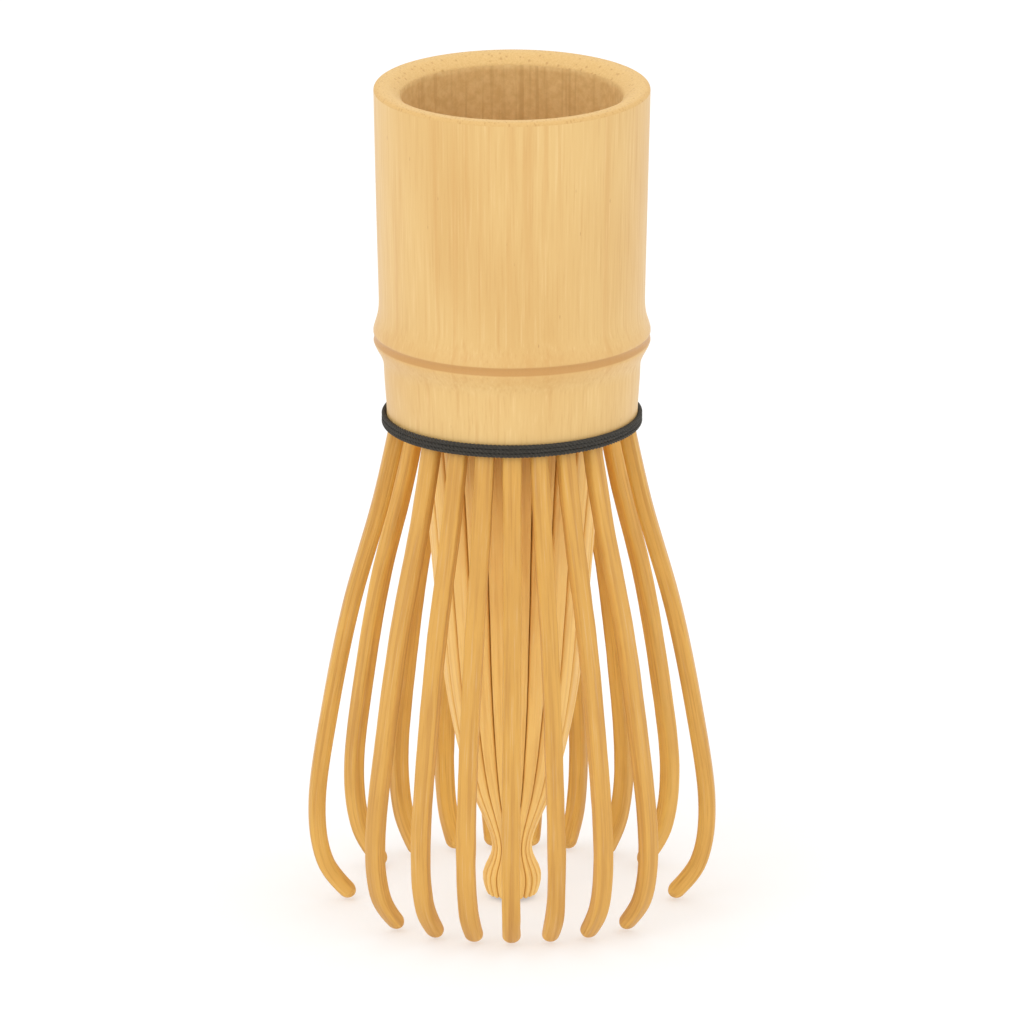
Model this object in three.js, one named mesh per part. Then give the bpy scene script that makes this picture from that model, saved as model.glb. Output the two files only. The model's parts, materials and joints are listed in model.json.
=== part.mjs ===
// A bamboo tea whisk, standing on its tine tips with its handle up.
// One culm is the handle. Its lower end is split into an outer ring of tines and an inner bunch,
// and a thread wound round the split and laced between the two rings holds them apart.
// Millimetres, +Z up, origin on the ground under the middle of the handle.

import * as THREE from 'three';

// Handle culm, from the rim down to the split
const RIM_HEIGHT = 112.5;
const RIM_RADIUS = 18.4;
const RIM_ROUNDING = 0.5;
const RIM_FLAT_INNER_RADIUS = 16.9;
const MOUTH_RADIUS = 14.8;
const MOUTH_BEVEL = 1.3;
const WAIST_HEIGHT = 83.0;
const WAIST_RADIUS = 17.7;
const NODE_HEIGHT = 78.2;
const NODE_RADIUS = 18.55;
const NODE_SHOULDER = 1.6;
const NODE_SHOULDER_RADIUS = 18.35;
const GROOVE_WIDTH = 1.1;
const GROOVE_DEPTH = 0.35;
const COLLAR_TOP_HEIGHT = 74.6;
const COLLAR_TOP_RADIUS = 17.2;
const COLLAR_RADIUS = 16.7;
const SPLIT_HEIGHT = 67.1;

// Inside of the culm: a bore above the node, the node's own wall, and a hollow below it
const BORE_RADIUS = 14.5;
const BORE_CORNER = 2.0;
const SEPTUM_TOP = 79.6;
const SEPTUM_BOTTOM = 77.2;
const SEPTUM_DISH = 0.6;
const HOLLOW_RADIUS = 11.0;

// Thread: the turns wound over the split, the turn laced between the tine rings, and its knot
const BINDING_HEIGHT = 66.9;
const BINDING_RADIUS = 16.9;
const BINDING_THICKNESS = 0.95;
const BINDING_WIDTH = 1.9;
const BINDING_SIDES = 10;
const SEAT_RADIUS = 16.0;
const SEAT_CLEARANCE = 0.3;
const LACING_HEIGHT = 66.2;
const LACING_RADIUS = 13.15;
const LACING_DIAMETER = 0.8;
const LACING_SIDES = 6;
const KNOT_HEIGHT = 64.95;
const KNOT_DISTANCE = 13.45;
const KNOT_RADIUS = 0.72;

// Outer tines. Seen from the front they stand evenly across the ring, and every second one is at
// the back. Their spacing is a share of the ring's radius. The outermost pair stands apart, at the
// ring's sides.
const OUTER_SIDE_COUNT = 8;
const OUTER_SPACING = 0.116;
const OUTERMOST_ANGLE = THREE.MathUtils.degToRad(86);
const TINE_TOP = 66.75;
const OUTER_WIDTH = 2.4;
const OUTER_THICKNESS = 2.25;
const OUTER_STEPS = 16;
const OUTER_TIP_SHARE = 0.022;
const OUTER_SPINE = [
  [15.0, TINE_TOP],
  [17.6, 55.0],
  [21.5, 41.0],
  [24.3, 27.0],
  [26.1, 14.0],
  [25.1, 5.6],
  [21.3, 0.45],
];

// Inner tines: a closed bunch, drawn in to a waist and opening again at the tips. The first stands
// a share of a step round from the front, so that no two gaps line up from the front or the sides.
const INNER_COUNT = 23;
const INNER_START = 0.375;
const INNER_WIDTH_PER_RADIUS = 0.24;
const INNER_THICKNESS = 1.3;
const INNER_TIP_THICKNESS = 0.8;
const INNER_STEPS = 16;
const INNER_TIP_SHARE = 0.008;
const INNER_SPINE = [
  [11.9, TINE_TOP],
  [10.7, 54.0],
  [9.6, 41.0],
  [8.2, 28.5],
  [5.7, 17.0],
  [2.3, 7.8],
  [3.5, 3.2],
  [2.9, 0.35],
];

const ROUND_SEGMENTS = 64;
const CHAMFER = 0.3;
const TIP_STEPS = 3;
const TIP_SWEEP = 0.42 * Math.PI;

// Materials
function bamboo(colour) {
  return new THREE.MeshStandardMaterial({ color: colour, roughness: 0.55, metalness: 0 });
}

const culmBamboo = bamboo(0xedc482);
const outerBamboo = bamboo(0xe1ad5a);
const innerBamboo = bamboo(0xecb96a);
const thread = new THREE.MeshStandardMaterial({ color: 0x423f3a, roughness: 0.9, metalness: 0 });

// A body turned about the vertical axis from (radius, height) points
function turned(outline, segments = ROUND_SEGMENTS) {
  const points = outline.map(([radius, height]) => new THREE.Vector2(radius, height));
  return new THREE.LatheGeometry(points, segments).rotateX(Math.PI / 2);
}

// A closed ring whose section is an ellipse
function ring(radius, height, thickness, width, sides) {
  const section = [];
  for (let side = 0; side <= sides; side += 1) {
    const turn = ((side % sides) / sides) * 2 * Math.PI;
    section.push([
      radius + (thickness / 2) * Math.cos(turn),
      height + (width / 2) * Math.sin(turn),
    ]);
  }
  return turned(section);
}

// The culm: inside of the hollow, split face, thread seat, collar, node, wall, rim and bore
function culmOutline() {
  const seatTop = BINDING_HEIGHT + BINDING_WIDTH / 2 + SEAT_CLEARANCE;
  return [
    [0, SEPTUM_BOTTOM + SEPTUM_DISH],
    [HOLLOW_RADIUS - BORE_CORNER, SEPTUM_BOTTOM],
    [HOLLOW_RADIUS, SEPTUM_BOTTOM - BORE_CORNER],
    [HOLLOW_RADIUS, SPLIT_HEIGHT],
    [SEAT_RADIUS, SPLIT_HEIGHT],
    [SEAT_RADIUS, seatTop],
    [COLLAR_RADIUS, seatTop],
    [COLLAR_TOP_RADIUS, COLLAR_TOP_HEIGHT],
    [(COLLAR_TOP_RADIUS + NODE_RADIUS) / 2, COLLAR_TOP_HEIGHT + NODE_SHOULDER],
    [NODE_RADIUS, NODE_HEIGHT - GROOVE_WIDTH / 2],
    [NODE_RADIUS - GROOVE_DEPTH, NODE_HEIGHT],
    [NODE_RADIUS, NODE_HEIGHT + GROOVE_WIDTH / 2],
    [NODE_SHOULDER_RADIUS, NODE_HEIGHT + NODE_SHOULDER],
    [WAIST_RADIUS, WAIST_HEIGHT],
    [RIM_RADIUS, RIM_HEIGHT - RIM_ROUNDING],
    [RIM_RADIUS - RIM_ROUNDING, RIM_HEIGHT],
    [RIM_FLAT_INNER_RADIUS, RIM_HEIGHT],
    [MOUTH_RADIUS, RIM_HEIGHT - MOUTH_BEVEL],
    [BORE_RADIUS, WAIST_HEIGHT],
    [BORE_RADIUS, SEPTUM_TOP + BORE_CORNER],
    [BORE_RADIUS - BORE_CORNER, SEPTUM_TOP],
    [0, SEPTUM_TOP - SEPTUM_DISH],
  ];
}

// Stations along a tine, as shares of its length: even ones, then a round tip
function tineStations(steps, tipShare) {
  const stations = [];
  for (let step = 0; step <= steps; step += 1) {
    stations.push({ at: (step / steps) * (1 - tipShare), size: 1 });
  }
  for (let step = 1; step <= TIP_STEPS; step += 1) {
    const turn = (step / TIP_STEPS) * TIP_SWEEP;
    stations.push({ at: 1 - tipShare * (1 - Math.sin(turn)), size: Math.cos(turn) });
  }
  return stations;
}

// A rectangle of side 1 with its corners cut
function chamferedSquare() {
  const cut = 0.5 - CHAMFER;
  const corners = [
    [cut, -0.5], [0.5, -cut], [0.5, cut], [cut, 0.5],
    [-cut, 0.5], [-0.5, cut], [-0.5, -cut], [-cut, -0.5],
  ];
  return new THREE.Shape(corners.map(([x, y]) => new THREE.Vector2(x, y)));
}

// A tine: a straight bar bent to its spine in the plane of +X and +Z, with its own width and
// thickness at each station
function tineGeometry(spinePoints, stations, widthAt, thicknessAt) {
  const spine = new THREE.SplineCurve(spinePoints.map(([r, z]) => new THREE.Vector2(r, z)));
  const steps = stations.length - 1;
  const bar = new THREE.ExtrudeGeometry(chamferedSquare(), {
    depth: steps,
    steps,
    bevelEnabled: false,
  });
  const corner = bar.getAttribute('position');
  for (let index = 0; index < corner.count; index += 1) {
    const { at, size } = stations[Math.round(corner.getZ(index))];
    const point = spine.getPointAt(at);
    const along = spine.getTangentAt(at);
    const outward = corner.getY(index) * thicknessAt(at) * size;
    const sideways = corner.getX(index) * widthAt(point.x) * size;
    corner.setXYZ(index, point.x - along.y * outward, sideways, point.y + along.x * outward);
  }
  bar.computeVertexNormals();
  return bar;
}

// Outer tine, lowered or raised so that its tip just touches the ground
function outerTineGeometry() {
  const stations = tineStations(OUTER_STEPS, OUTER_TIP_SHARE);
  const tine = tineGeometry(OUTER_SPINE, stations, () => OUTER_WIDTH, () => OUTER_THICKNESS);
  tine.computeBoundingBox();
  return tine.translate(0, 0, -tine.boundingBox.min.z);
}

// Inner tine: it narrows towards the axis in step with its neighbours, and never meets them
function innerTineGeometry() {
  const widthAt = (radius) => INNER_WIDTH_PER_RADIUS * radius;
  const thicknessAt = (at) => THREE.MathUtils.lerp(INNER_THICKNESS, INNER_TIP_THICKNESS, at);
  const stations = tineStations(INNER_STEPS, INNER_TIP_SHARE);
  return tineGeometry(INNER_SPINE, stations, widthAt, thicknessAt);
}

// Directions of the outer tines, counted from the front (-Y) towards +X all the way round
function outerAngles() {
  const side = [OUTERMOST_ANGLE];
  for (let place = 1; place < OUTER_SIDE_COUNT; place += 1) {
    const fromFront = Math.asin(OUTER_SPACING * place);
    side.push(place % 2 === 1 ? Math.PI - fromFront : fromFront);
  }
  side.sort((one, other) => one - other);
  return [0, ...side, ...side.map((angle) => 2 * Math.PI - angle).reverse()];
}

const whisk = new THREE.Group();

function add(name, geometry, material, angle = Math.PI / 2) {
  const mesh = new THREE.Mesh(geometry, material);
  mesh.name = name;
  mesh.rotation.z = angle - Math.PI / 2;
  whisk.add(mesh);
  return mesh;
}

function tineName(kind, index) {
  return `${kind}_${String(index + 1).padStart(2, '0')}`;
}

add('handle_culm', turned(culmOutline()), culmBamboo);
outerAngles().forEach((angle, index) => {
  add(tineName('outer_tine', index), outerTineGeometry(), outerBamboo, angle);
});
for (let index = 0; index < INNER_COUNT; index += 1) {
  const angle = ((index + INNER_START) / INNER_COUNT) * 2 * Math.PI;
  add(tineName('inner_tine', index), innerTineGeometry(), innerBamboo, angle);
}
const binding = ring(
  BINDING_RADIUS, BINDING_HEIGHT, BINDING_THICKNESS, BINDING_WIDTH, BINDING_SIDES,
);
add('binding_thread', binding, thread);
const lacing = ring(
  LACING_RADIUS, LACING_HEIGHT, LACING_DIAMETER, LACING_DIAMETER, LACING_SIDES,
);
add('lacing_thread', lacing, thread);
const knot = add('thread_knot', new THREE.IcosahedronGeometry(KNOT_RADIUS, 2), thread);
knot.position.set(0, KNOT_DISTANCE, KNOT_HEIGHT);

export default whisk;
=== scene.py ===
"""Bamboo tea whisk: the fine meshes, materials, light and camera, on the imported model. Metres."""

import json
import math
import random
from types import SimpleNamespace

import bpy
import numpy as np
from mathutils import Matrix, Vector, noise


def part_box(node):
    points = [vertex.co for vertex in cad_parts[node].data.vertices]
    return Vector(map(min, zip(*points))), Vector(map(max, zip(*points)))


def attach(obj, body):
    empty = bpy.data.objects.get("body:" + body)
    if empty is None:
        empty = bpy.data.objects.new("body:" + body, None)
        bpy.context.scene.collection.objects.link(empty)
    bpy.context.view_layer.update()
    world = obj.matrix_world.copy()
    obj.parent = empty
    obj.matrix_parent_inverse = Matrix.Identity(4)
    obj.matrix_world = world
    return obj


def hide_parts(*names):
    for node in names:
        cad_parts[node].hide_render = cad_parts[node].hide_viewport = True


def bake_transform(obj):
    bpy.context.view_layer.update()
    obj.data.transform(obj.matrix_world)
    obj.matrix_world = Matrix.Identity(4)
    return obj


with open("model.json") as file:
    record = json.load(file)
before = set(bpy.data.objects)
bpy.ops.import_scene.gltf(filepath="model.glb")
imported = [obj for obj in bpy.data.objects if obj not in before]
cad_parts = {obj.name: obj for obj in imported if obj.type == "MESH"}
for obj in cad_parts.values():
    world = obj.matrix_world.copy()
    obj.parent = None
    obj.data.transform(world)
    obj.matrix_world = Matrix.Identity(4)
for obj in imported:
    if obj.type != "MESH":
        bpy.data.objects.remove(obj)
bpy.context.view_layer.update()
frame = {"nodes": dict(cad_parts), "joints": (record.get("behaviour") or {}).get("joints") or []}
MM = 0.001

# Camera: where the photograph looks from, through a long lens. Lens and sensor in millimetres.
CAMERA_ELEVATION = math.radians(16.5)
CAMERA_LENS = 1000
SENSOR_WIDTH = 36
VIEW_WIDTH = 136.5 * MM
VIEW_HEIGHT = 53.5 * MM

# Handle culm, as in part.mjs
CULM_LOW, CULM_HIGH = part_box("handle_culm")
RIM_TOP = CULM_HIGH.z
SPLIT_Z = CULM_LOW.z
RIM_RADIUS = 18.4 * MM
RIM_ROUNDING = 0.5 * MM
RIM_FLAT_INNER = 16.9 * MM
MOUTH_RADIUS = 14.8 * MM
MOUTH_BEVEL = 1.3 * MM
WAIST_Z = 83.0 * MM
WAIST_RADIUS = 17.7 * MM
NODE_Z = 78.2 * MM
NODE_RISE = 0.85 * MM
NODE_SPREAD = 2.3 * MM
NODE_SHOULDER = 4 * MM
GROOVE_DEPTH = 0.35 * MM
GROOVE_SPREAD = 0.44 * MM
COLLAR_RADIUS = 16.7 * MM
COLLAR_FLARE = 0.35 * MM
COLLAR_TOP_Z = 74 * MM
BORE_RADIUS = 14.5 * MM
SEPTUM_TOP = 79.6 * MM
SEPTUM_BOTTOM = 77.2 * MM
SEPTUM_DISH = 0.6 * MM
HOLLOW_RADIUS = 11.0 * MM
INNER_CORNER = 2.0 * MM
INNER_POLE = 0.5 * MM  # the small flat in the middle of each side of the node's wall
SEAT_LIP = 0.1 * MM  # the slope from the thread's seat out to the collar

# How far the grown culm strays from true: all over, in and out at its node, and up and down there
CULM_UNEVENNESS = 0.10 * MM
NODE_UNEVENNESS = 0.05 * MM
NODE_LIFT = 0.12 * MM
NODE_REACH = 3 * MM

# The culm's mesh, and the order of its materials
CULM_COLUMNS = 192
WALL_ROWS = 150
BEVEL_ROWS = 8
SKIN_SLOT, CUT_SLOT, INSIDE_SLOT = range(3)

# Tines: (radius, height) along the middle of each kind, as in part.mjs
OUTER_SPINE = [
    (15.0, 66.75), (17.6, 55.0), (21.5, 41.0), (24.3, 27.0), (26.1, 14.0), (25.1, 5.6), (21.3, 0.45),
]
OUTER_WIDTH = 2.4 * MM
OUTER_THICKNESS = 2.25 * MM
INNER_SPINE = [
    (11.9, 66.75), (10.7, 54.0), (9.6, 41.0), (8.2, 28.5), (5.7, 17.0), (2.3, 7.8), (3.5, 3.2),
    (2.9, 0.35),
]
INNER_WIDTH_PER_RADIUS = 0.262
INNER_THICKNESS = 1.3 * MM
INNER_TIP_THICKNESS = 0.8 * MM

# A tine's section: nearly square along the body, going round over the last stretch
BODY_SQUARENESS = 3.6
TIP_SQUARENESS = 2.0
ROUNDED_LENGTH = 6 * MM

# How uneven a hand-cut tine is: its width in long waves and its edges in short ones
WOBBLE_SHARE = 0.05
WOBBLE_LENGTH = 5 * MM
RIPPLE_SHARE = 0.035
RIPPLE_LENGTH = 2.2 * MM

# The tines' meshes
SECTION_POINTS = 32
TIP_ROWS = 9
TIP_SWEEP = 0.97
SEGMENT_SAMPLES = 120
SPINE_SAMPLES = 600

# Thread
THREAD_DIAMETER = 0.66 * MM
THREAD_PLIES = 3
PLY_SIDES = 8
PLY_SHARE = 0.27  # a ply's radius, as a share of the thread's diameter
PLY_PITCH = 1.7 * MM
BINDING_TURNS = 3
BINDING_SPREAD = 1.02  # the turns rise a little more than fits, and are held inside the solid's height
BINDING_DIP = 0.55 * MM
BINDING_DIP_TURNS = 0.02
BINDING_STEPS = 700
LACING_DIAMETER = 0.8 * MM
LACING_WEAVE = 0.14 * MM
LACING_WAVES = 19
LACING_STEPS = 900
KNOT_THREAD_DIAMETER = 0.5 * MM
KNOT_PLY_PITCH = 1.1 * MM
KNOT_START = 0.2  # radians
KNOT_SHARE = 0.94  # how much of the closed trefoil is tied
KNOT_SCALE = 0.21
KNOT_DEPTH = 1.25
KNOT_STEPS = 240

# Stage, in metres
FLOOR_SIZE = 6.0
FLOOR_Z = -0.0001
WORLD_STRENGTH = 1.03
LIT_POINT = (0, 0, 0.06)


# --- mesh helpers ---------------------------------------------------------------------------------

def new_object(name, vertices, faces, materials, face_slots=None):
    """A smooth mesh object. Where it has several materials, face_slots holds each face's number."""
    mesh = bpy.data.meshes.new(name)
    mesh.from_pydata([tuple(vertex) for vertex in vertices], [], faces)
    for material in materials:
        mesh.materials.append(material)
    if face_slots is not None:
        mesh.polygons.foreach_set("material_index", face_slots)
    mesh.polygons.foreach_set("use_smooth", [True] * len(mesh.polygons))
    mesh.update()
    obj = bpy.data.objects.new(name, mesh)
    bpy.context.scene.collection.objects.link(obj)
    return obj


def add_vector_attribute(obj, name, values):
    """Give each vertex a vector for its material to read."""
    attribute = obj.data.attributes.new(name, "FLOAT_VECTOR", "POINT")
    attribute.data.foreach_set("vector", np.asarray(values, np.float32).ravel())


def grid_faces(rows, columns):
    """Quads between rows of vertices. Each row is a closed loop."""
    faces = []
    for row in range(rows - 1):
        for column in range(columns):
            after = (column + 1) % columns
            faces.append((row * columns + column, row * columns + after,
                          (row + 1) * columns + after, (row + 1) * columns + column))
    return faces


def end_faces(first, last, columns):
    """The two faces that close a grid, at the rows that start at vertex first and vertex last."""
    return [tuple(reversed(range(first, first + columns))), tuple(range(last, last + columns))]


def smoothstep(low, high, value):
    """0 below low and 1 above high, smooth between."""
    share = min(max((value - low) / (high - low), 0.0), 1.0)
    return share * share * (3 - 2 * share)


def arc(centre, radius, start, end, steps):
    """Points of a circular arc in (radius, height), angles in degrees."""
    points = []
    for step in range(steps + 1):
        turn = math.radians(start + (end - start) * step / steps)
        points.append((centre[0] + radius * math.cos(turn), centre[1] + radius * math.sin(turn)))
    return points


def line(start, end, steps):
    """Points on a straight line, without its first."""
    return [tuple(a + (b - a) * step / steps for a, b in zip(start, end)) for step in range(1, steps + 1)]


# --- materials ------------------------------------------------------------------------------------

class Nodes:
    """A material's node tree, with short calls for the nodes that are used here."""

    def __init__(self, name):
        self.material = bpy.data.materials.new(name)
        self.material.use_nodes = True
        self.tree = self.material.node_tree
        self.shader = self.tree.nodes["Principled BSDF"]

    def node(self, kind, **settings):
        made = self.tree.nodes.new(kind)
        for key, value in settings.items():
            setattr(made, key, value)
        return made

    def link(self, source, target):
        self.tree.links.new(source, target)

    def socket(self, target, value):
        """Give an input a link or a fixed value."""
        if isinstance(value, bpy.types.NodeSocket):
            self.link(value, target)
        else:
            target.default_value = value

    def math(self, operation, a, b=0.0):
        made = self.node("ShaderNodeMath", operation=operation)
        self.socket(made.inputs[0], a)
        self.socket(made.inputs[1], b)
        return made.outputs[0]

    def ramp(self, value, low, high):
        """0 at low and 1 at high, smooth between and level beyond. Low may be the larger."""
        made = self.node("ShaderNodeMapRange", interpolation_type="SMOOTHSTEP")
        self.socket(made.inputs["Value"], value)
        made.inputs["From Min"].default_value = low
        made.inputs["From Max"].default_value = high
        return made.outputs["Result"]

    def mix(self, factor, a, b, blend="MIX"):
        made = self.node("ShaderNodeMix", data_type="RGBA", blend_type=blend)
        self.socket(made.inputs[0], factor)
        self.socket(made.inputs[6], a)
        self.socket(made.inputs[7], b)
        return made.outputs[2]

    def scaled(self, vector, scale):
        made = self.node("ShaderNodeVectorMath", operation="MULTIPLY")
        self.link(vector, made.inputs[0])
        made.inputs[1].default_value = scale
        return made.outputs[0]

    def noise(self, vector, scale=1.0, detail=2.0, roughness=0.5):
        made = self.node("ShaderNodeTexNoise")
        self.link(vector, made.inputs["Vector"])
        made.inputs["Scale"].default_value = scale
        made.inputs["Detail"].default_value = detail
        made.inputs["Roughness"].default_value = roughness
        return made.outputs["Fac"]

    def voronoi(self, vector, scale=1.0):
        """Distance to the nearest of scattered points."""
        made = self.node("ShaderNodeTexVoronoi")
        self.link(vector, made.inputs["Vector"])
        made.inputs["Scale"].default_value = scale
        return made.outputs["Distance"]

    def position_mm(self):
        """Place in the object, in millimetres."""
        coordinates = self.node("ShaderNodeTexCoord")
        return self.scaled(coordinates.outputs["Object"], (1000, 1000, 1000))

    def attribute(self, name):
        made = self.node("ShaderNodeAttribute", attribute_name=name)
        return made.outputs["Vector"]

    def split(self, vector):
        made = self.node("ShaderNodeSeparateXYZ")
        self.link(vector, made.inputs[0])
        return made.outputs

    def bump(self, height, distance, strength):
        made = self.node("ShaderNodeBump")
        made.inputs["Strength"].default_value = strength
        made.inputs["Distance"].default_value = distance
        self.link(height, made.inputs["Height"])
        self.link(made.outputs["Normal"], self.shader.inputs["Normal"])

    def finish(self, colour, roughness, coat=0.0, coat_roughness=0.3, specular=0.5):
        self.socket(self.shader.inputs["Base Color"], colour)
        self.socket(self.shader.inputs["Roughness"], roughness)
        self.shader.inputs["Coat Weight"].default_value = coat
        self.shader.inputs["Coat Roughness"].default_value = coat_roughness
        self.shader.inputs["Specular IOR Level"].default_value = specular
        return self.material


def rgb(red, green, blue):
    """An 8-bit screen colour as a linear one."""
    def linear(value):
        value /= 255
        return value / 12.92 if value <= 0.04045 else ((value + 0.055) / 1.055) ** 2.4
    return (linear(red), linear(green), linear(blue), 1.0)


def culm_skin():
    """Cured bamboo skin: fine upright fibres, broad soft clouds, and painted shade: a dark line in the
    node's groove.
    """
    n = Nodes("culm_skin")
    here = n.position_mm()
    height = n.split(here)[2]
    fibres = n.noise(n.scaled(here, (3.2, 3.2, 0.05)), detail=4.0, roughness=0.6)
    streaks = n.noise(n.scaled(here, (0.75, 0.75, 0.012)), detail=3.0)
    clouds = n.noise(n.scaled(here, (0.07, 0.07, 0.03)), detail=2.0)
    colour = n.mix(n.ramp(clouds, 0.3, 0.7), rgb(217, 174, 104), rgb(225, 186, 118))
    colour = n.mix(n.math("MULTIPLY", n.ramp(streaks, 0.52, 0.72), 0.42), colour, rgb(210, 159, 88))
    colour = n.mix(n.math("MULTIPLY", n.ramp(fibres, 0.5, 0.75), 0.40), colour, rgb(203, 152, 84))
    colour = n.mix(n.math("MULTIPLY", n.ramp(fibres, 0.48, 0.25), 0.30), colour, rgb(243, 210, 150))
    pores = n.voronoi(n.scaled(here, (0.55, 0.55, 0.16)))
    colour = n.mix(n.math("MULTIPLY", n.ramp(pores, 0.07, 0.02), 0.5), colour, rgb(176, 122, 62))
    away = n.math("ABSOLUTE", n.math("SUBTRACT", height, NODE_Z / MM))
    # Painted shade: a dark brown line painted along the node's groove, where shade falls in the recess.
    groove = n.ramp(n.math("ADD", away, n.math("MULTIPLY", fibres, 0.12)), 0.72, 0.54)
    colour = n.mix(n.math("MULTIPLY", groove, 0.85), colour, rgb(190, 136, 68))
    # Darker towards the node, most in its groove, fading out about 3 mm away.
    darker_near_node = n.math("MULTIPLY", n.ramp(away, 3.2, 0.5), 0.22)
    colour = n.mix(darker_near_node, colour, rgb(214, 163, 92))
    n.bump(fibres, 0.00006, 0.5)
    roughness = n.math("ADD", n.math("MULTIPLY", fibres, 0.22), 0.34)
    return n.finish(colour, roughness, coat=0.18, coat_roughness=0.35)


def culm_cut():
    """Sawn and sanded end of the culm: vascular bundles, small and crowded near the skin."""
    n = Nodes("culm_cut")
    here = n.position_mm()
    x, y, _ = n.split(here)
    radius = n.math("SQRT", n.math("ADD", n.math("MULTIPLY", x, x), n.math("MULTIPLY", y, y)))
    flat = n.scaled(here, (1, 1, 0.08))
    large = n.ramp(n.voronoi(flat, 1.25), 0.30, 0.14)
    small = n.ramp(n.voronoi(flat, 2.3), 0.36, 0.16)
    near_skin = n.ramp(radius, 16.2, 17.6)
    dots = n.math("MAXIMUM", n.math("MULTIPLY", large, n.math("SUBTRACT", 1.0, near_skin)),
                  n.math("MULTIPLY", small, near_skin))
    grit = n.noise(here, 4.0, 3.0)
    colour = n.mix(n.ramp(grit, 0.3, 0.7), rgb(219, 179, 112), rgb(227, 189, 125))
    colour = n.mix(n.math("MULTIPLY", dots, 0.45), colour, rgb(182, 131, 71))
    colour = n.mix(n.math("MULTIPLY", n.ramp(radius, 17.5, 18.3), 0.35), colour, rgb(212, 166, 98))
    n.bump(n.math("SUBTRACT", grit, dots), 0.00005, 0.6)
    return n.finish(colour, 0.62, specular=0.4)


def culm_inside():
    """Inside of the culm: brown, papery, with faint upright ribs."""
    n = Nodes("culm_inside")
    here = n.position_mm()
    ribs = n.noise(n.scaled(here, (1.6, 1.6, 0.04)), detail=3.0)
    paper = n.noise(here, 0.9, 4.0, 0.65)
    colour = n.mix(n.ramp(paper, 0.3, 0.72), rgb(217, 178, 116), rgb(231, 195, 134))
    colour = n.mix(n.math("MULTIPLY", n.ramp(ribs, 0.5, 0.72), 0.5), colour, rgb(197, 156, 96))
    n.bump(n.math("ADD", ribs, paper), 0.00012, 0.6)
    return n.finish(colour, 0.74, specular=0.3)


def tine_bamboo(name, skin, side, inside, streak):
    """Split bamboo: smooth skin on the outer face and open fibres on the others.

    The grain attribute holds millimetres across, through and along the tine, with an offset of its own
    for each tine. The place attribute holds -1 to 1 across and through it, where 1 through is its skin.
    """
    n = Nodes(name)
    grain = n.attribute("grain")
    across, through, _ = n.split(n.attribute("place"))
    fibres = n.noise(n.scaled(grain, (4.2, 4.2, 0.12)), detail=4.0, roughness=0.62)
    streaks = n.noise(n.scaled(grain, (1.5, 1.5, 0.04)), detail=2.0)
    blotches = n.noise(n.scaled(grain, (0.35, 0.35, 0.11)), detail=2.0)
    colour = n.mix(n.ramp(through, -0.9, 0.1), inside, side)
    skin_share = n.ramp(through, 0.55, 0.95)
    colour = n.mix(skin_share, colour, skin)
    colour = n.mix(n.math("MULTIPLY", n.ramp(streaks, 0.47, 0.66), 0.42), colour, streak)
    colour = n.mix(n.math("MULTIPLY", n.ramp(fibres, 0.52, 0.72), 0.42), colour, streak)
    light = n.mix(1.0, skin, rgb(255, 243, 220), "SCREEN")
    colour = n.mix(n.math("MULTIPLY", n.ramp(fibres, 0.46, 0.26), 0.12), colour, light)
    colour = n.mix(n.math("MULTIPLY", n.ramp(blotches, 0.35, 0.75), 0.22), colour, streak)
    edge = n.math("MULTIPLY", n.ramp(n.math("ABSOLUTE", across), 0.80, 0.98), 0.25)
    colour = n.mix(edge, colour, streak)
    n.bump(fibres, 0.00014, 0.7)
    roughness = n.math("SUBTRACT", n.math("ADD", n.math("MULTIPLY", fibres, 0.25), 0.46),
                       n.math("MULTIPLY", skin_share, 0.12))
    return n.finish(colour, roughness, coat=0.08, coat_roughness=0.4)


def outer_tine_bamboo():
    return tine_bamboo("outer_tine_bamboo", skin=rgb(217, 163, 73), side=rgb(240, 190, 94),
                       inside=rgb(232, 184, 86), streak=rgb(182, 124, 48))


def inner_tine_bamboo():
    # Painted light: the outward face (skin) is made lighter than the split faces and far lighter than the
    # outer tines' skin, lifting the shade inside the ring of outer tines.
    return tine_bamboo("inner_tine_bamboo", skin=rgb(249, 205, 115), side=rgb(238, 190, 98),
                       inside=rgb(231, 181, 91), streak=rgb(220, 164, 76))


def waxed_thread():
    """Dark waxed thread: fine fibres along each ply."""
    n = Nodes("waxed_thread")
    here = n.position_mm()
    fuzz = n.noise(here, 7.0, 3.0, 0.6)
    colour = n.mix(n.ramp(fuzz, 0.3, 0.75), rgb(46, 43, 38), rgb(78, 74, 67))
    n.bump(fuzz, 0.00004, 0.5)
    material = n.finish(colour, 0.8, specular=0.2)
    n.shader.inputs["Sheen Weight"].default_value = 0.1
    n.shader.inputs["Sheen Roughness"].default_value = 0.5
    return material


def pale_floor():
    """White sweep that glows a little, as one lit from below does, so that shadows stay pale."""
    n = Nodes("pale_floor")
    grain = n.noise(n.position_mm(), 0.02, 2.0)
    colour = n.mix(grain, (0.58, 0.58, 0.577, 1), (0.60, 0.60, 0.597, 1))
    n.shader.inputs["Emission Color"].default_value = (1, 1, 1, 1)
    n.shader.inputs["Emission Strength"].default_value = 0.4
    return n.finish(colour, 0.9, specular=0.1)


# --- handle ---------------------------------------------------------------------------------------

def outer_radius(z):
    """Outside of the culm at a height: collar, node and wall."""
    collar = COLLAR_RADIUS + COLLAR_FLARE * smoothstep(SPLIT_Z, COLLAR_TOP_Z, z)
    wall = WAIST_RADIUS + (RIM_RADIUS - WAIST_RADIUS) * max(0.0, (z - WAIST_Z) / (RIM_TOP - WAIST_Z))
    base = collar + (wall - collar) * smoothstep(NODE_Z - NODE_SHOULDER, NODE_Z, z)
    bulge = NODE_RISE * math.exp(-((z - NODE_Z) / NODE_SPREAD) ** 2)
    groove = GROOVE_DEPTH * math.exp(-((z - NODE_Z) / GROOVE_SPREAD) ** 4)
    return base + bulge - groove


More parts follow.
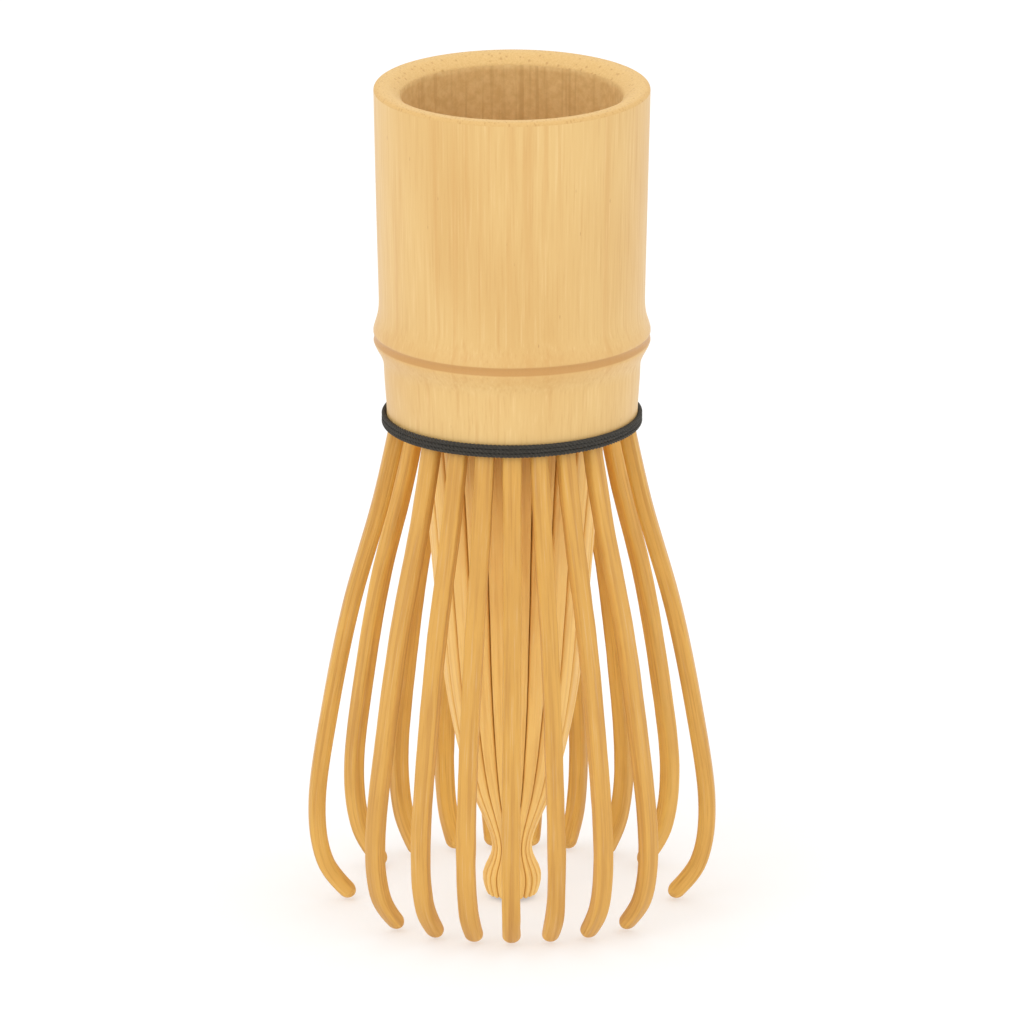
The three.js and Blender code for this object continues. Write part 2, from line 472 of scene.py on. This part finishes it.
def culm_outline():
    """Closed outline of the culm as (radius, height, material slot), from the hollow's roof round."""
    hollow_roof = (INNER_POLE, SEPTUM_BOTTOM + SEPTUM_DISH)
    hollow_corner = (HOLLOW_RADIUS - INNER_CORNER, SEPTUM_BOTTOM - INNER_CORNER)
    bore_corner = (BORE_RADIUS - INNER_CORNER, SEPTUM_TOP + INNER_CORNER)
    bore_floor = (INNER_POLE, SEPTUM_TOP - SEPTUM_DISH)
    thread_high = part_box("binding_thread")[1]
    seat_radius = thread_high.x - THREAD_DIAMETER
    seat_top = thread_high.z - SEAT_LIP
    wall_foot = seat_top + SEAT_LIP
    wall_top = RIM_TOP - RIM_ROUNDING
    rim_corner = (outer_radius(wall_top) - RIM_ROUNDING, wall_top)
    outline = []

    def extend(points, slot):
        outline.extend((radius, z, slot) for radius, z in points)

    extend([hollow_roof], INSIDE_SLOT)
    extend(line(hollow_roof, (hollow_corner[0], SEPTUM_BOTTOM), 8), INSIDE_SLOT)
    extend(arc(hollow_corner, INNER_CORNER, 80, 0, 7), INSIDE_SLOT)
    extend(line((HOLLOW_RADIUS, hollow_corner[1]), (HOLLOW_RADIUS, SPLIT_Z), 6), INSIDE_SLOT)
    extend(line((HOLLOW_RADIUS, SPLIT_Z), (seat_radius, SPLIT_Z), 5), CUT_SLOT)
    extend(line((seat_radius, SPLIT_Z), (seat_radius, seat_top), 3), CUT_SLOT)
    for row in range(WALL_ROWS + 1):
        z = wall_foot + (wall_top - wall_foot) * row / WALL_ROWS
        extend([(outer_radius(z), z)], SKIN_SLOT)
    extend(arc(rim_corner, RIM_ROUNDING, 12, 90, 6), CUT_SLOT)
    extend(line((rim_corner[0], RIM_TOP), (RIM_FLAT_INNER, RIM_TOP), 3), CUT_SLOT)
    for row in range(1, BEVEL_ROWS + 1):
        share = row / BEVEL_ROWS
        radius = RIM_FLAT_INNER + (MOUTH_RADIUS - RIM_FLAT_INNER) * share
        extend([(radius, RIM_TOP - MOUTH_BEVEL * share ** 1.6)], CUT_SLOT)
    extend(line((MOUTH_RADIUS, RIM_TOP - MOUTH_BEVEL), (BORE_RADIUS, bore_corner[1]), 40), INSIDE_SLOT)
    extend(arc(bore_corner, INNER_CORNER, -12, -90, 7), INSIDE_SLOT)
    extend(line((bore_corner[0], SEPTUM_TOP), bore_floor, 10), INSIDE_SLOT)
    return outline


def grown_point(radius, z, turn):
    """A point of the culm, a little off its true place, as grown bamboo is."""
    across = Vector((math.cos(turn), math.sin(turn), 0))
    near_node = math.exp(-((z - NODE_Z) / NODE_REACH) ** 2)
    uneven = CULM_UNEVENNESS * noise.noise(across * 1.1 + Vector((0, 0, z * 25)))
    uneven += NODE_UNEVENNESS * near_node * noise.noise(across * 5 + Vector((3, 0, z * 90)))
    lift = NODE_LIFT * near_node * noise.noise(across * 1.7 + Vector((0, 7, 0)))
    wide = radius + uneven * min(1.0, radius / HOLLOW_RADIUS)
    return (across.x * wide, across.y * wide, z + lift)


def make_culm():
    """The culm, turned from its outline."""
    outline = culm_outline()
    turns = [2 * math.pi * column / CULM_COLUMNS for column in range(CULM_COLUMNS)]
    vertices = [grown_point(radius, z, turn) for radius, z, _ in outline for turn in turns]
    faces = grid_faces(len(outline), CULM_COLUMNS)
    faces += end_faces(0, (len(outline) - 1) * CULM_COLUMNS, CULM_COLUMNS)
    face_slots = [slot for _, _, slot in outline[1:] for _ in turns]
    face_slots += [INSIDE_SLOT, INSIDE_SLOT]
    materials = [culm_skin(), culm_cut(), culm_inside()]
    culm = new_object("handle_culm_fine", vertices, faces, materials, face_slots)
    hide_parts("handle_culm")
    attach(culm, "handle")


# --- tines ----------------------------------------------------------------------------------------

def spine_samples(control):
    """Even points (radius, height) along the smooth curve through the control points, and its length."""
    points = np.array([control[0], *control, control[-1]], float) * MM
    samples = []
    for segment in range(len(control) - 1):
        before, start, end, after = points[segment:segment + 4]
        leaving, arriving = (end - before) / 2, (after - start) / 2
        for t in np.linspace(0, 1, SEGMENT_SAMPLES, endpoint=False):
            samples.append((2 * start - 2 * end + leaving + arriving) * t ** 3
                           + (-3 * start + 3 * end - 2 * leaving - arriving) * t ** 2 + leaving * t + start)
    samples = np.array(samples + [points[-1]])
    length = np.concatenate([[0], np.cumsum(np.linalg.norm(np.diff(samples, axis=0), axis=1))])
    even = np.linspace(0, length[-1], SPINE_SAMPLES)
    return np.stack([np.interp(even, length, samples[:, axis]) for axis in (0, 1)], axis=1), length[-1]


def spine_place(samples, share):
    """The point (radius, height) at a share of the spine's length, and its direction there."""
    index = share * (len(samples) - 1)
    low = min(int(index), len(samples) - 2)
    point = samples[low] + (samples[low + 1] - samples[low]) * (index - low)
    slope = samples[min(low + 2, len(samples) - 1)] - samples[max(low - 1, 0)]
    return point, slope / np.linalg.norm(slope)


def tine_section(squareness):
    """A rounded square of side 1: a circle at squareness 2, and squarer above that."""
    section = []
    for step in range(SECTION_POINTS):
        turn = 2 * math.pi * (step + 0.5) / SECTION_POINTS
        x, y = math.cos(turn), math.sin(turn)
        section.append((math.copysign(abs(x) ** (2 / squareness), x) / 2,
                        math.copysign(abs(y) ** (2 / squareness), y) / 2))
    return section


def tine_rows(length, body_rows, tip_length):
    """Distances along a tine and the size of its section there: even ones, then the round tip."""
    rows = [((length - tip_length) * step / body_rows, 1.0) for step in range(body_rows + 1)]
    for step in range(1, TIP_ROWS + 1):
        turn = math.pi / 2 * step / TIP_ROWS * TIP_SWEEP
        rows.append((length - tip_length * (1 - math.sin(turn)), math.cos(turn)))
    return rows


def make_tine(node, kind, seed):
    """One tine, bent to its spine in its own upright plane, with a hand-cut unevenness of its own."""
    chance = random.Random(seed)
    joint = next(joint for joint in frame["joints"] if joint["child"] == node)
    hinge = Vector(joint["pos_m"])
    direction = Vector((hinge.x, hinge.y, 0)).normalized()
    sideways = Vector((-direction.y, direction.x, 0))
    samples, length = spine_samples(kind.spine)
    rows = tine_rows(length, kind.rows, kind.tip)
    phase = chance.uniform(0, 100)
    sway = chance.uniform(-kind.sway, kind.sway)
    broader = 1 + kind.uneven * chance.uniform(-0.04, 0.04)
    thicker = 1 + kind.uneven * chance.uniform(-0.04, 0.02)
    vertices, grain, place = [], [], []
    for along, size in rows:
        share = along / length
        (radius, height), slope = spine_place(samples, share)
        outward = direction * -slope[1] + Vector((0, 0, slope[0]))
        wobble = noise.noise(Vector((phase, along / WOBBLE_LENGTH, 0)))
        width = kind.width(radius) * broader * (1 + WOBBLE_SHARE * kind.uneven * wobble) * size
        thickness = kind.thickness(share) * thicker * size
        flare = thickness / radius
        rounded = smoothstep(length - ROUNDED_LENGTH, length, along)
        squareness = BODY_SQUARENESS + (TIP_SQUARENESS - BODY_SQUARENESS) * rounded
        drift = sway * smoothstep(0, length, along) * math.sin(share * 5 + phase)
        middle = direction * radius + Vector((0, 0, height)) + sideways * drift
        for across, through in tine_section(squareness):
            ripple = noise.noise(Vector((phase + across * 4, along / RIPPLE_LENGTH, through * 4)))
            edge = 1 + RIPPLE_SHARE * kind.uneven * ripple
            reach = across * width * edge * (1 + flare * through)
            vertices.append(middle + sideways * reach + outward * (through * thickness))
            grain.append((across * width / MM + phase, through * thickness / MM, along / MM))
            place.append((across * 2, through * 2, share))
    faces = grid_faces(len(rows), SECTION_POINTS)
    faces += end_faces(0, (len(rows) - 1) * SECTION_POINTS, SECTION_POINTS)
    tine = new_object(f"{node}_fine", vertices, faces, [kind.material])
    add_vector_attribute(tine, "grain", grain)
    add_vector_attribute(tine, "place", place)
    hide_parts(node)
    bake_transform(tine)


def tine_nodes(prefix):
    """Names of the tines of one kind, in order."""
    return sorted(name for name in frame["nodes"] if name.startswith(prefix))


def make_outer_tines():
    kind = SimpleNamespace(
        spine=OUTER_SPINE,
        width=lambda radius: OUTER_WIDTH,
        thickness=lambda share: OUTER_THICKNESS,
        tip=1.3 * MM,
        rows=76,
        sway=0.22 * MM,
        uneven=1.0,
        material=outer_tine_bamboo(),
        slot="outer_tine_bamboo",
    )
    for number, node in enumerate(tine_nodes("outer_tine_"), start=1):
        make_tine(node, kind, number)


def make_inner_tines():
    kind = SimpleNamespace(
        spine=INNER_SPINE,
        width=lambda radius: INNER_WIDTH_PER_RADIUS * radius,
        thickness=lambda share: INNER_THICKNESS + (INNER_TIP_THICKNESS - INNER_THICKNESS) * share,
        tip=0.5 * MM,
        rows=80,
        sway=0.0,
        uneven=0.35,
        material=inner_tine_bamboo(),
        slot="inner_tine_bamboo",
    )
    for number, node in enumerate(tine_nodes("inner_tine_"), start=1):
        make_tine(node, kind, 100 + number)


# --- thread ---------------------------------------------------------------------------------------

def path_sides(points, closed):
    """The sideways and upward directions at each point of a path."""
    count = len(points)
    sides = []
    for index, point in enumerate(points):
        before = points[index - 1] if index or closed else point
        after = points[(index + 1) % count] if index + 1 < count or closed else point
        tangent = (after - before).normalized()
        side = Vector((0, 0, 1)).cross(tangent)
        side = side.normalized() if side.length > 1e-6 else Vector((1, 0, 0))
        sides.append((side, tangent.cross(side)))
    return sides


def plied_thread(name, points, material, closed, pitch=PLY_PITCH, diameter=THREAD_DIAMETER):
    """Thread of twisted plies along a path of closely spaced points."""
    count = len(points)
    travelled = [0.0]
    for start, end in zip(points, points[1:]):
        travelled.append(travelled[-1] + (end - start).length)
    if closed:
        whole = travelled[-1] + (points[0] - points[-1]).length
        pitch = whole / round(whole / pitch)
    ply_radius = diameter * PLY_SHARE
    offset = diameter / 2 - ply_radius
    sides = path_sides(points, closed)
    vertices, faces = [], []
    for ply in range(THREAD_PLIES):
        first = len(vertices)
        for point, (side, up), distance in zip(points, sides, travelled):
            twist = 2 * math.pi * (distance / pitch + ply / THREAD_PLIES)
            centre = point + (side * math.cos(twist) + up * math.sin(twist)) * offset
            for corner in range(PLY_SIDES):
                turn = 2 * math.pi * corner / PLY_SIDES
                vertices.append(centre + (side * math.cos(turn) + up * math.sin(turn)) * ply_radius)
        faces += [tuple(first + vertex for vertex in face) for face in grid_faces(count, PLY_SIDES)]
        last = first + (count - 1) * PLY_SIDES
        if closed:
            for corner in range(PLY_SIDES):
                after = (corner + 1) % PLY_SIDES
                faces.append((last + corner, last + after, first + after, first + corner))
        else:
            faces += end_faces(first, last, PLY_SIDES)
    return new_object(name, vertices, faces, [material])


def circle_point(radius, turn, z):
    """A point on a level circle, at an angle from the front (-Y) towards +X."""
    return Vector((radius * math.sin(turn), -radius * math.cos(turn), z))


def make_binding(material):
    """Three turns of thread side by side over the split; both ends dip in at the back."""
    low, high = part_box("binding_thread")
    radius = high.x - THREAD_DIAMETER / 2
    rise = (high.z - low.z - THREAD_DIAMETER) / (BINDING_TURNS - 1) * BINDING_SPREAD
    path = []
    for step in range(BINDING_TURNS * BINDING_STEPS + 1):
        turns = step / BINDING_STEPS
        end_distance = min(turns, BINDING_TURNS - turns)
        dip = BINDING_DIP * (1 - smoothstep(0, BINDING_DIP_TURNS, end_distance))
        height = (low.z + high.z) / 2 + (turns - BINDING_TURNS / 2) * rise
        height = min(max(height, low.z + THREAD_DIAMETER / 2), high.z - THREAD_DIAMETER / 2)
        path.append(circle_point(radius - dip, math.pi * (1 + 2 * turns), height))
    piece = plied_thread("binding_thread_turns", path, material, closed=False)
    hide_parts("binding_thread")
    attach(piece, "handle")


def make_lacing(material):
    """One turn laced behind the outer tines and in front of the inner ones."""
    low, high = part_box("lacing_thread")
    radius = high.x - LACING_DIAMETER / 2
    height = (low.z + high.z) / 2
    path = []
    for step in range(LACING_STEPS):
        turn = 2 * math.pi * step / LACING_STEPS
        weave = LACING_WEAVE * math.sin(turn * LACING_WAVES)
        path.append(circle_point(radius, turn, height + weave))
    piece = plied_thread("lacing_thread_turn", path, material, closed=True)
    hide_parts("lacing_thread")
    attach(piece, "handle")


def make_knot(material):
    """The overhand knot that joins the thread's ends, as an open trefoil."""
    low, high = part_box("thread_knot")
    centre = (low + high) / 2
    size = (high.x - low.x) / 2
    path = []
    for step in range(KNOT_STEPS + 1):
        turn = 2 * math.pi * step / KNOT_STEPS * KNOT_SHARE + KNOT_START
        x = math.sin(turn) + 2 * math.sin(2 * turn)
        z = math.cos(turn) - 2 * math.cos(2 * turn)
        y = -math.sin(3 * turn)
        path.append(centre + Vector((x, KNOT_DEPTH * y, z)) * size * KNOT_SCALE)
    piece = plied_thread("thread_knot_tied", path, material, closed=False,
                         pitch=KNOT_PLY_PITCH, diameter=KNOT_THREAD_DIAMETER)
    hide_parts("thread_knot")
    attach(piece, "handle")


# --- stage ----------------------------------------------------------------------------------------

def make_floor():
    """A plain floor, just under the tips."""
    bpy.ops.mesh.primitive_plane_add(size=FLOOR_SIZE, location=(0, 0, FLOOR_Z))
    floor = bpy.context.object
    floor.name = "floor"
    floor.data.materials.append(pale_floor())


def make_area_light(name, location, size, power):
    """A round soft light, aimed at the object."""
    data = bpy.data.lights.new(name, "AREA")
    data.shape = "DISK"
    data.size = size
    data.energy = power
    light = bpy.data.objects.new(name, data)
    light.location = location
    light.rotation_euler = (Vector(LIT_POINT) - Vector(location)).to_track_quat("-Z", "Y").to_euler()
    bpy.context.scene.collection.objects.link(light)


def make_light():
    """White surroundings and three soft lights."""
    world = bpy.data.worlds.new("studio")
    world.use_nodes = True
    background = world.node_tree.nodes["Background"]
    background.inputs["Color"].default_value = (1, 1, 1, 1)
    background.inputs["Strength"].default_value = WORLD_STRENGTH
    bpy.context.scene.world = world
    bpy.context.scene.view_settings.view_transform = "Standard"
    make_area_light("key", location=(-0.45, -0.55, 0.62), size=0.45, power=1.0)
    make_area_light("fill", location=(0.6, -0.45, 0.3), size=0.6, power=0.3)
    make_area_light("top", location=(0.05, 0.15, 0.8), size=0.6, power=0.5)


def make_camera():
    """The camera, in front of the object and above it, at the distance that fills the view."""
    data = bpy.data.cameras.new("camera")
    data.lens = CAMERA_LENS
    data.sensor_width = SENSOR_WIDTH
    camera = bpy.data.objects.new("camera", data)
    bpy.context.scene.collection.objects.link(camera)
    distance = CAMERA_LENS / SENSOR_WIDTH * VIEW_WIDTH
    back = Vector((0, -math.cos(CAMERA_ELEVATION), math.sin(CAMERA_ELEVATION)))
    camera.location = Vector((0, 0, VIEW_HEIGHT)) + back * distance
    camera.rotation_euler = (-back).to_track_quat("-Z", "Y").to_euler()
    bpy.context.scene.camera = camera


make_camera()
make_light()
make_floor()
make_culm()
make_outer_tines()
make_inner_tines()
thread = waxed_thread()
make_binding(thread)
make_lacing(thread)
make_knot(thread)
